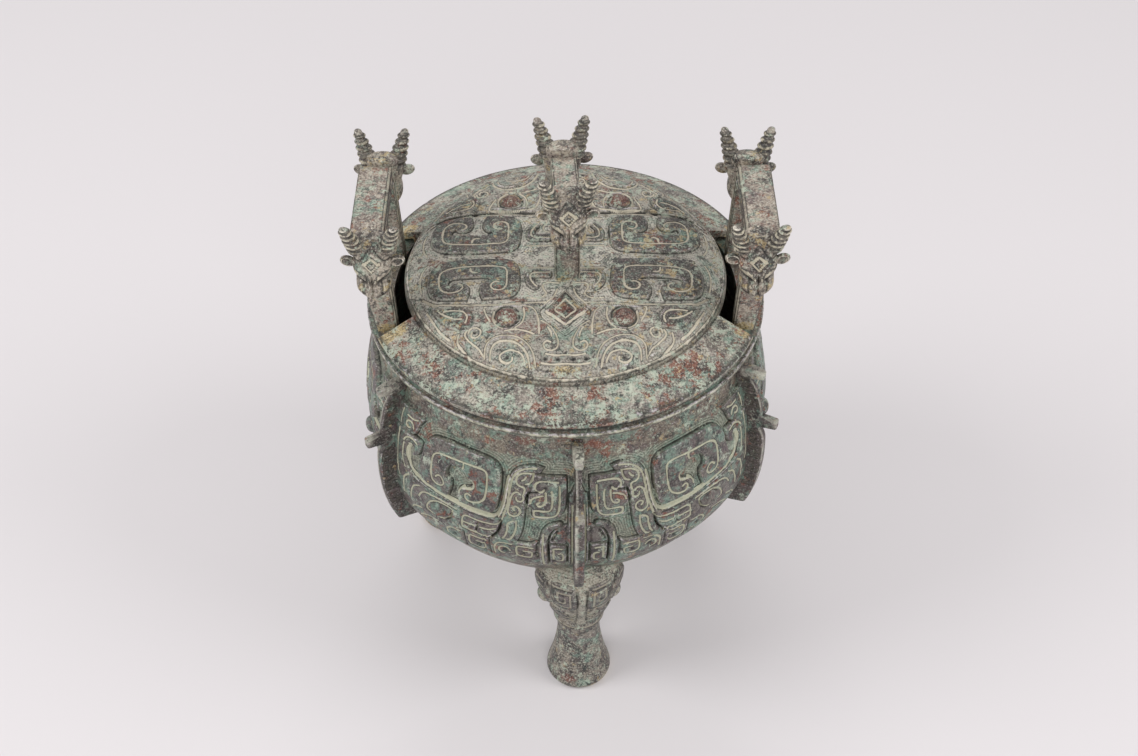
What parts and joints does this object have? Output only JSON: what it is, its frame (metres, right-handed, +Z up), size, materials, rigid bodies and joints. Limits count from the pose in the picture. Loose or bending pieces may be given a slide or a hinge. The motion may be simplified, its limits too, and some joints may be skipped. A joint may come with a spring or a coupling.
{
  "type": "bronze ding vessel",
  "caption": "Lidded bronze tripod cauldron with upright ears, a loop-handled lift-off lid, ram's heads, hooked flanges and mask relief, for cooking and serving ritual food.",
  "frame": {"origin": "on the floor under the centre of the bowl, in the plane of the three soles", "axes": "+Z up; the two ears stand on +X and -X; one leg faces -Y, turned 4.4 degrees towards +X"},
  "size_m": [0.215, 0.2388, 0.2998],
  "materials": {
    "vessel_bronze": "cast bronze under a matt grey-green and brown patina",
    "lid_bronze": "cast bronze under a matt speckled green, red-brown and grey patina"
  },
  "bodies": {
    "root": {"vessel": "vessel_bronze", "lid": "lid_bronze"}
  },
  "joints": []
}
